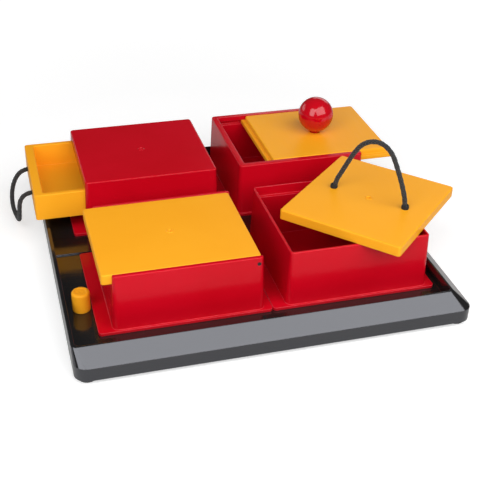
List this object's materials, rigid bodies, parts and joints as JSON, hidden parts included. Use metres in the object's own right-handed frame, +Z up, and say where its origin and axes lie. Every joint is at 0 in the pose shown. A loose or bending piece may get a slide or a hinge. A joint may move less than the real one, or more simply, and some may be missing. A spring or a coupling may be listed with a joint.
{
  "type": "dog puzzle feeder toy",
  "caption": "Dog puzzle feeder: square rimmed tray with treat boxes opened by a flap, a sliding lid with ball knob, a rope-handled lid and a pull-out drawer.",
  "frame": {"origin": "on the supporting surface under the middle of the whole object's box, between the feet", "axes": "+X to the right, +Y to the back, +Z up, seen from the side that the flap box and the rope box stand on"},
  "size_m": [0.355, 0.31, 0.1231],
  "materials": {
    "black_plastic": "gloss",
    "red_plastic": "gloss",
    "orange_plastic": "gloss",
    "rope": "woven",
    "rubber": "matte",
    "steel": "zinc plated",
    "dark_pin": "darkened"
  },
  "bodies": {
    "tray": {"base_tray": "black_plastic", "foot_front_left": "rubber", "foot_front_right": "rubber", "foot_rear_left": "rubber", "foot_rear_right": "rubber", "drawer_box": "red_plastic", "slide_box": "red_plastic", "flap_box": "red_plastic", "rope_box": "red_plastic", "drawer_box_screws": "steel", "slide_box_screws": "steel", "flap_box_screws": "steel", "rope_box_screws": "steel", "flap_hinge_pin": "dark_pin"},
    "drawer": {"drawer": "orange_plastic", "drawer_rope": "rope", "drawer_rope_knots": "rope"},
    "flap": {"flap_lid": "orange_plastic"},
    "slide_lid": {"ball_lid": "orange_plastic", "ball_knob": "red_plastic", "ball_knob_screw": "steel"},
    "lift_lid": {"rope_lid": "orange_plastic", "lid_rope": "rope", "lid_rope_knots": "rope", "lid_rope_collars": "rope"},
    "peg": {"peg": "orange_plastic"}
  },
  "joints": [
    {"name": "drawer_slide", "type": "slide", "parent": "tray", "child": "drawer", "axis": [1, 0, 0], "range_m": [-0.035, 0.042], "deforming": ["drawer_rope"]},
    {"name": "ball_lid_slide", "type": "slide", "parent": "tray", "child": "slide_lid", "axis": [1, 0, 0], "range_m": [-0.0264, 0.05]},
    {"name": "flap_hinge", "type": "hinge", "parent": "tray", "child": "flap", "pos_m": [-0.01486, -0.063, 0.0575], "axis": [0, 1, 0], "range_deg": [0, 105]},
    {"name": "rope_lid_lift", "type": "slide", "parent": "tray", "child": "lift_lid", "axis": [0, 0, 1], "range_m": [0, 0.06]},
    {"name": "peg_lift", "type": "slide", "parent": "tray", "child": "peg", "axis": [0, 0, 1], "range_m": [0, 0.025]}
  ]
}
